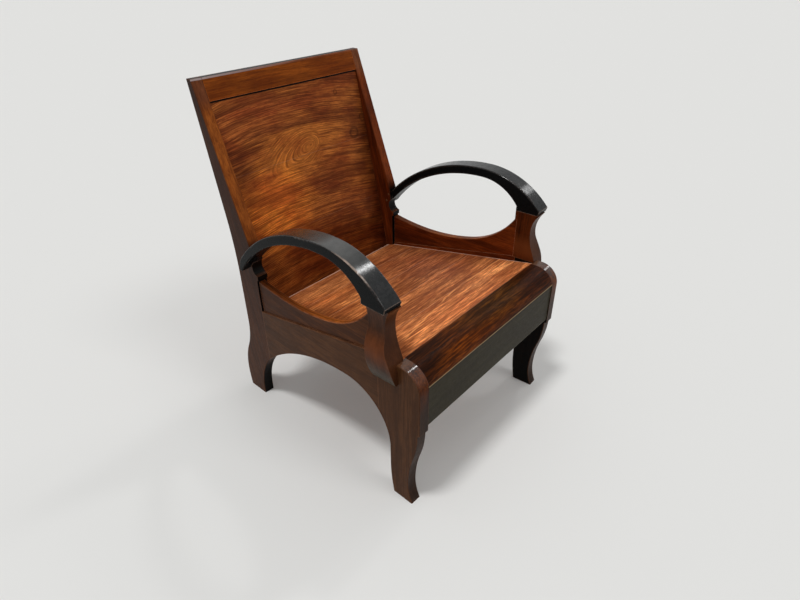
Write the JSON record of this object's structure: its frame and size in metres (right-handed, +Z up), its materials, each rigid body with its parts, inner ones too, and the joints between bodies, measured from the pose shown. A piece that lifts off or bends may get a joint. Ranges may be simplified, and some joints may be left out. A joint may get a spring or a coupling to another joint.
{
  "type": "easy chair",
  "caption": "Low hardwood easy chair with sloping board seat, raked panelled back, shaped plank legs and dark bowed armrests.",
  "frame": {"origin": "on the floor, below the middle of the chair's overall box", "axes": "+Z up, +X to the right of someone who faces the chair, the seat opens towards -Y"},
  "size_m": [0.6504, 0.7216, 0.893],
  "materials": {
    "frame_wood": "dark brown french polish",
    "side_board_wood": "red-brown french polish",
    "stump_wood": "dark brown french polish",
    "arm_wood": "worn black satin polish",
    "nosing_wood": "dark brown french polish, glossy",
    "apron_wood": "dark olive brown satin polish",
    "seat_wood": "orange-brown satin polish, dark streaks",
    "back_wood": "orange-brown satin polish",
    "top_rail_wood": "orange-brown satin polish, blackened top edge",
    "bearer_wood": "bare wood",
    "peg_wood": "satin",
    "screw_steel": "dull"
  },
  "bodies": {
    "root": {"front_leg_left": "frame_wood", "side_rail_left": "frame_wood", "rear_post_left": "frame_wood", "side_board_left": "side_board_wood", "arm_stump_left": "stump_wood", "armrest_left": "arm_wood", "seat_cleat_left": "bearer_wood", "leg_pegs_left": "peg_wood", "post_pegs_left": "peg_wood", "arm_pins_left": "peg_wood", "stump_dowels_left": "peg_wood", "arm_dowels_left": "peg_wood", "cleat_screws_left": "screw_steel", "front_leg_right": "frame_wood", "side_rail_right": "frame_wood", "rear_post_right": "frame_wood", "side_board_right": "side_board_wood", "arm_stump_right": "stump_wood", "armrest_right": "arm_wood", "seat_cleat_right": "bearer_wood", "leg_pegs_right": "peg_wood", "post_pegs_right": "peg_wood", "arm_pins_right": "peg_wood", "stump_dowels_right": "peg_wood", "arm_dowels_right": "peg_wood", "cleat_screws_right": "screw_steel", "front_seat_rail": "nosing_wood", "front_apron": "apron_wood", "seat_board_1": "seat_wood", "seat_board_2": "seat_wood", "seat_board_3": "seat_wood", "seat_board_4": "seat_wood", "seat_board_5": "seat_wood", "back_board_1": "back_wood", "back_board_2": "back_wood", "back_board_3": "back_wood", "back_top_rail": "top_rail_wood", "lower_back_rail": "bearer_wood", "seat_bearer": "bearer_wood", "top_rail_pegs": "peg_wood"}
  },
  "joints": []
}
